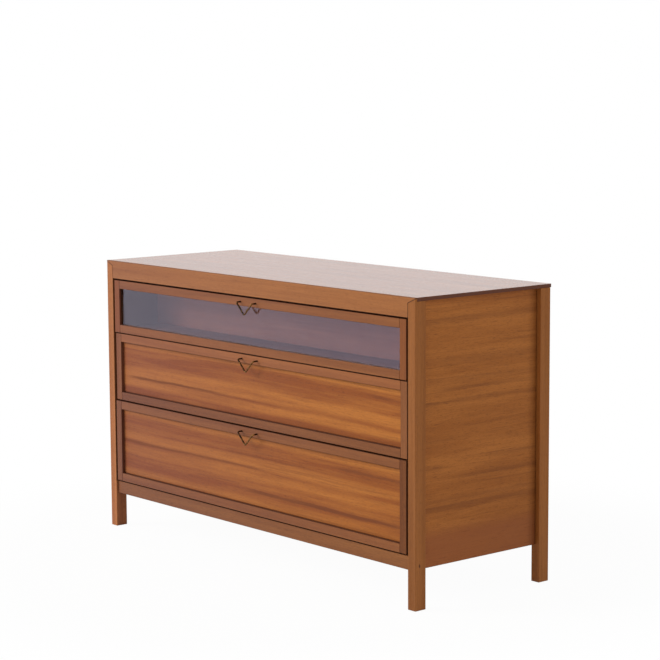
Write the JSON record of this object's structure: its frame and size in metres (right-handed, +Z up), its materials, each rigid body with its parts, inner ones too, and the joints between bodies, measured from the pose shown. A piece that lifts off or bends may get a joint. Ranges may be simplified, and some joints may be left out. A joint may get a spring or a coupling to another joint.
{
  "type": "chest of drawers",
  "caption": "Low wooden chest on square posts, with framed sliding drawers, a glazed top drawer and bent wire V pulls, for clothes and linen.",
  "frame": {"origin": "on the floor, at the middle of the box that holds the whole chest", "axes": "+X to the right seen from the front, +Y to the back, +Z up"},
  "size_m": [1.2, 0.4484, 0.713],
  "materials": {
    "post_wood": "satin polished mahogany",
    "rail_wood": "satin polished mahogany",
    "top_wood": "glossy polished mahogany veneer",
    "side_wood": "satin polished mahogany veneer",
    "drawer_frame_wood": "satin polished mahogany",
    "drawer_panel_wood": "satin polished ribbon-figured mahogany veneer",
    "inner_wood": "plain planed beech",
    "plywood": "plain birch plywood",
    "glass": "clear float glass",
    "brass": "aged polished brass wire"
  },
  "bodies": {
    "carcass": {"front_left_post": "post_wood", "front_right_post": "post_wood", "back_left_post": "post_wood", "back_right_post": "post_wood", "front_top_rail": "rail_wood", "front_bottom_rail": "rail_wood", "back_top_rail": "inner_wood", "back_bottom_rail": "inner_wood", "top_board": "top_wood", "left_side_panel": "side_wood", "right_side_panel": "side_wood", "back_panel": "plywood", "dust_panel": "plywood", "top_drawer_left_runner": "inner_wood", "top_drawer_right_runner": "inner_wood", "middle_drawer_left_runner": "inner_wood", "middle_drawer_right_runner": "inner_wood", "bottom_drawer_left_runner": "inner_wood", "bottom_drawer_right_runner": "inner_wood"},
    "top_drawer": {"top_drawer_left_stile": "drawer_frame_wood", "top_drawer_right_stile": "drawer_frame_wood", "top_drawer_lower_rail": "drawer_frame_wood", "top_drawer_upper_rail": "drawer_frame_wood", "top_drawer_glass": "glass", "top_drawer_lower_bead": "inner_wood", "top_drawer_upper_bead": "inner_wood", "top_drawer_left_bead": "inner_wood", "top_drawer_right_bead": "inner_wood", "top_drawer_left_side": "inner_wood", "top_drawer_right_side": "inner_wood", "top_drawer_back": "inner_wood", "top_drawer_bottom": "plywood", "top_drawer_divider": "inner_wood", "top_drawer_pull": "brass", "top_drawer_pull_left_nut": "brass", "top_drawer_pull_right_nut": "brass"},
    "middle_drawer": {"middle_drawer_left_stile": "drawer_frame_wood", "middle_drawer_right_stile": "drawer_frame_wood", "middle_drawer_lower_rail": "drawer_frame_wood", "middle_drawer_upper_rail": "drawer_frame_wood", "middle_drawer_panel": "drawer_panel_wood", "middle_drawer_left_side": "inner_wood", "middle_drawer_right_side": "inner_wood", "middle_drawer_back": "inner_wood", "middle_drawer_bottom": "plywood", "middle_drawer_pull": "brass", "middle_drawer_pull_left_nut": "brass", "middle_drawer_pull_right_nut": "brass"},
    "bottom_drawer": {"bottom_drawer_left_stile": "drawer_frame_wood", "bottom_drawer_right_stile": "drawer_frame_wood", "bottom_drawer_lower_rail": "drawer_frame_wood", "bottom_drawer_upper_rail": "drawer_frame_wood", "bottom_drawer_panel": "drawer_panel_wood", "bottom_drawer_left_side": "inner_wood", "bottom_drawer_right_side": "inner_wood", "bottom_drawer_back": "inner_wood", "bottom_drawer_bottom": "plywood", "bottom_drawer_pull": "brass", "bottom_drawer_pull_left_nut": "brass", "bottom_drawer_pull_right_nut": "brass"}
  },
  "joints": [
    {"name": "top_drawer_slide", "type": "slide", "parent": "carcass", "child": "top_drawer", "axis": [0, -1, 0], "range_m": [0, 0.3]},
    {"name": "middle_drawer_slide", "type": "slide", "parent": "carcass", "child": "middle_drawer", "axis": [0, -1, 0], "range_m": [0, 0.3]},
    {"name": "bottom_drawer_slide", "type": "slide", "parent": "carcass", "child": "bottom_drawer", "axis": [0, -1, 0], "range_m": [0, 0.3]}
  ]
}
